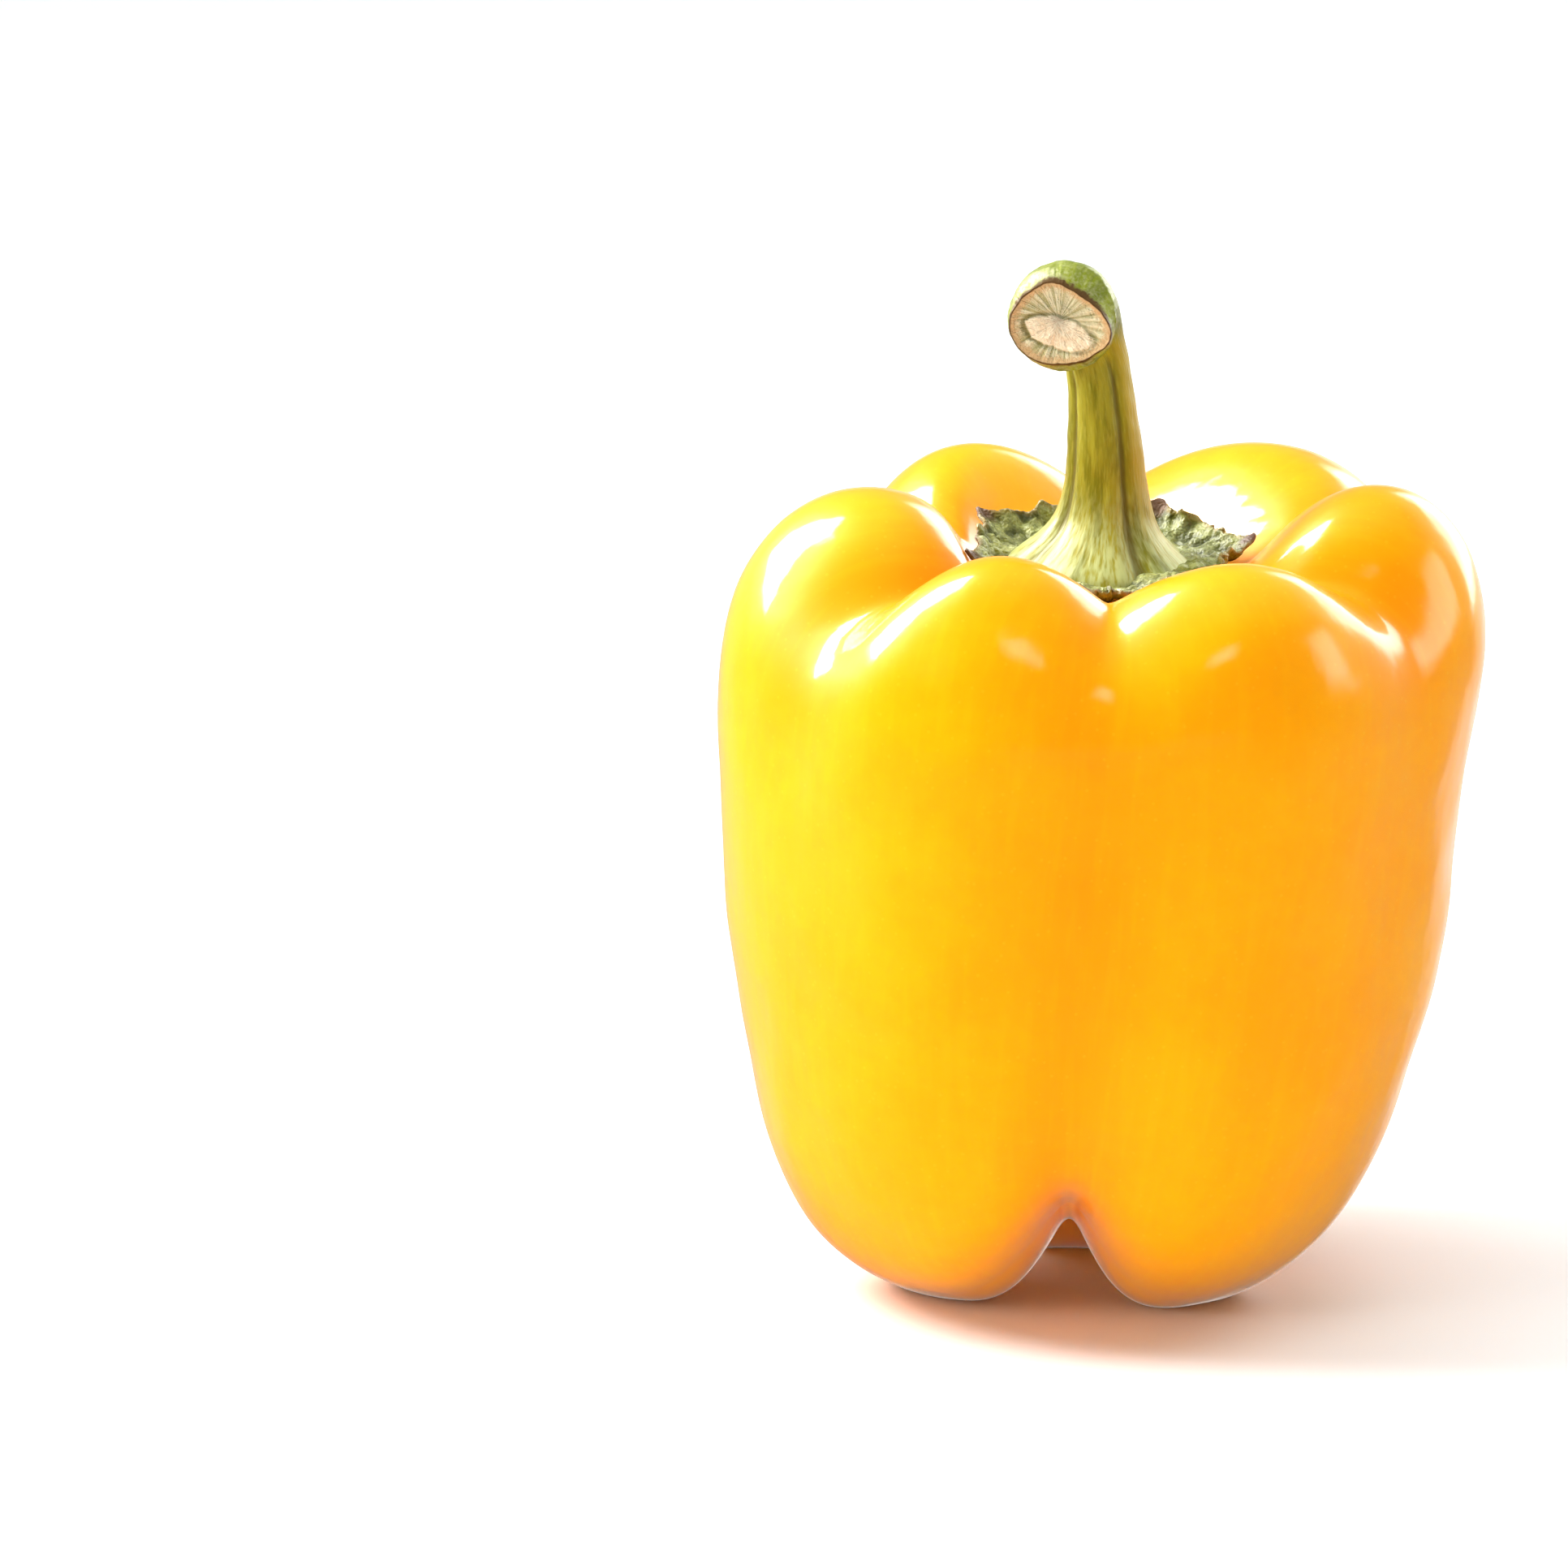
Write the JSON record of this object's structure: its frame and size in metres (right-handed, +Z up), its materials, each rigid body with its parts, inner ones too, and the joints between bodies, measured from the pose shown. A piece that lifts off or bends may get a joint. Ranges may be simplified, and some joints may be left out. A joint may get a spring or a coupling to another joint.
{
  "type": "bell pepper",
  "caption": "Yellow bell pepper standing on its feet: blocky lobed fruit with a green calyx in the crown and a short ribbed stalk that bends over to its cut end.",
  "frame": {"origin": "on the table, under the middle of the pepper's bounding box, in the plane of its three feet", "axes": "+Z up along the stalk, -Y towards the front fold and the cut end of the stalk, +X to the right seen from the front"},
  "size_m": [0.0882, 0.0844, 0.1217],
  "materials": {
    "fruit_skin": "smooth waxy gloss, yellow to orange skin",
    "calyx_green": "matt wrinkled green with a pale waxy bloom",
    "stem_green": "satin fibrous green, dry tan cut end"
  },
  "bodies": {
    "root": {"fruit": "fruit_skin", "calyx": "calyx_green", "stem": "stem_green"}
  },
  "joints": []
}
